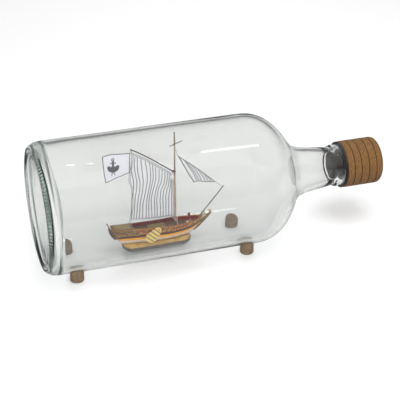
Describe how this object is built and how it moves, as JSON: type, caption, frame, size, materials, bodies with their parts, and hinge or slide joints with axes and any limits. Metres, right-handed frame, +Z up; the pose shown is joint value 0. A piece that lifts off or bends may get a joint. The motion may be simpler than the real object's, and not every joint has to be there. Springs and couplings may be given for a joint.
{
  "type": "ship in a bottle",
  "caption": "Model gaff yacht with striped sails on a small plinth inside a clear glass bottle lying on drum feet, with a turned wood stopper.",
  "frame": {"origin": "middle of the whole length and width, on the plane the feet rest on", "axes": "+X along the bottle from its base to its stopper, +Z up, +Y to the ship's port side"},
  "size_m": [0.2976, 0.11, 0.115],
  "materials": {
    "clear_glass": "clear, polished",
    "foot_wood": "satin",
    "plinth_black": "satin paint",
    "plinth_varnish": "varnished",
    "stud_steel": "dull",
    "hull_white": "satin paint",
    "wale_orange": "satin paint",
    "topside_brown": "painted with red and gold ornament",
    "deck_wood": "satin",
    "cabin_wood": "satin",
    "roof_wood": "satin, planked",
    "gunwale_wood": "satin",
    "gilt_wood": "gilt",
    "spar_dark": "satin",
    "grating_wood": "satin",
    "fitting_pale": "satin",
    "fitting_brown": "satin",
    "spar_pale": "satin",
    "post_maroon": "satin paint",
    "pin_brass": "polished",
    "mast_wood": "satin",
    "sail_striped": "matt, white with grey stripes",
    "thread_grey": "matt",
    "thread_pale": "matt",
    "flag_paper": "matt",
    "leeboard_yellow": "satin",
    "rudder_brown": "satin",
    "cap_wood": "turned, satin, dark burnt grooves",
    "ring_black": "matt",
    "plug_dark": "satin"
  },
  "bodies": {
    "bottle": {"glass_bottle": "clear_glass", "feet": "foot_wood", "plinth_base": "plinth_black", "plinth_board": "plinth_varnish", "plinth_studs": "stud_steel", "keel": "hull_white", "hull_bottom": "hull_white", "wale": "wale_orange", "topsides": "topside_brown", "deck": "deck_wood", "cabin": "cabin_wood", "cabin_bulkhead": "cabin_wood", "cabin_roof": "roof_wood", "gunwale": "gunwale_wood", "beakhead": "gilt_wood", "head_rails": "gilt_wood", "scroll_carving": "gilt_wood", "bowsprit": "spar_dark", "hatch_coaming": "cabin_wood", "hatch_grating": "grating_wood", "deck_chests": "fitting_pale", "windlass": "fitting_brown", "spare_spar": "spar_pale", "spar_chocks": "fitting_brown", "tabernacle": "fitting_brown", "rail_post": "post_maroon", "mast_pin": "pin_brass", "shroud_pins": "pin_brass", "leeboard_pins": "pin_brass", "gudgeons": "pin_brass"},
    "stopper": {"stopper_cap": "cap_wood", "stopper_ring": "ring_black", "stopper_plug": "plug_dark"},
    "mast": {"mast": "mast_wood", "topmast": "spar_dark", "crosstree": "spar_dark", "gooseneck": "pin_brass", "gaff_pin": "pin_brass", "mainsail": "sail_striped", "jib": "sail_striped", "jib_luff_rope": "thread_grey", "mainsheet": "thread_pale", "shrouds": "thread_pale"},
    "gaff": {"gaff": "spar_dark", "flag": "flag_paper", "flag_halyard": "thread_grey"},
    "rudder": {"rudder_blade": "rudder_brown", "rudder_stock": "rudder_brown", "rudder_head": "rudder_brown"},
    "leeboard_starboard": {"leeboard_starboard": "leeboard_yellow"},
    "leeboard_port": {"leeboard_port": "leeboard_yellow"}
  },
  "joints": [
    {"name": "stopper_pull", "type": "slide", "parent": "bottle", "child": "stopper", "axis": [1, 0, 0], "range_m": [0, 0.05]},
    {"name": "mast_fold", "type": "hinge", "parent": "bottle", "child": "mast", "pos_m": [-0.0323, 0, 0.0284], "axis": [0, -1, 0], "range_deg": [0, 75], "deforming": ["mainsail", "jib", "jib_luff_rope", "mainsheet"]},
    {"name": "gaff_fold", "type": "hinge", "parent": "mast", "child": "gaff", "pos_m": [-0.0341, 0, 0.0769], "axis": [0, 1, 0], "range_deg": [0, 42], "deforming": ["flag", "flag_halyard"]},
    {"name": "rudder_turn", "type": "hinge", "parent": "bottle", "child": "rudder", "pos_m": [-0.08647, 0, 0.026], "axis": [-0.4704, 0, 0.8825], "range_deg": [-35, 35]},
    {"name": "leeboard_starboard_swing", "type": "hinge", "parent": "bottle", "child": "leeboard_starboard", "pos_m": [-0.049, -0.0082, 0.0283], "axis": [0, 1, 0], "range_deg": [-28, 25]},
    {"name": "leeboard_port_swing", "type": "hinge", "parent": "bottle", "child": "leeboard_port", "pos_m": [-0.049, 0.0082, 0.0283], "axis": [0, 1, 0], "range_deg": [-28, 25]}
  ],
  "couplings": [
    {"joint": "gaff_fold", "follows": "mast_fold", "ratio": 0.5333}
  ]
}
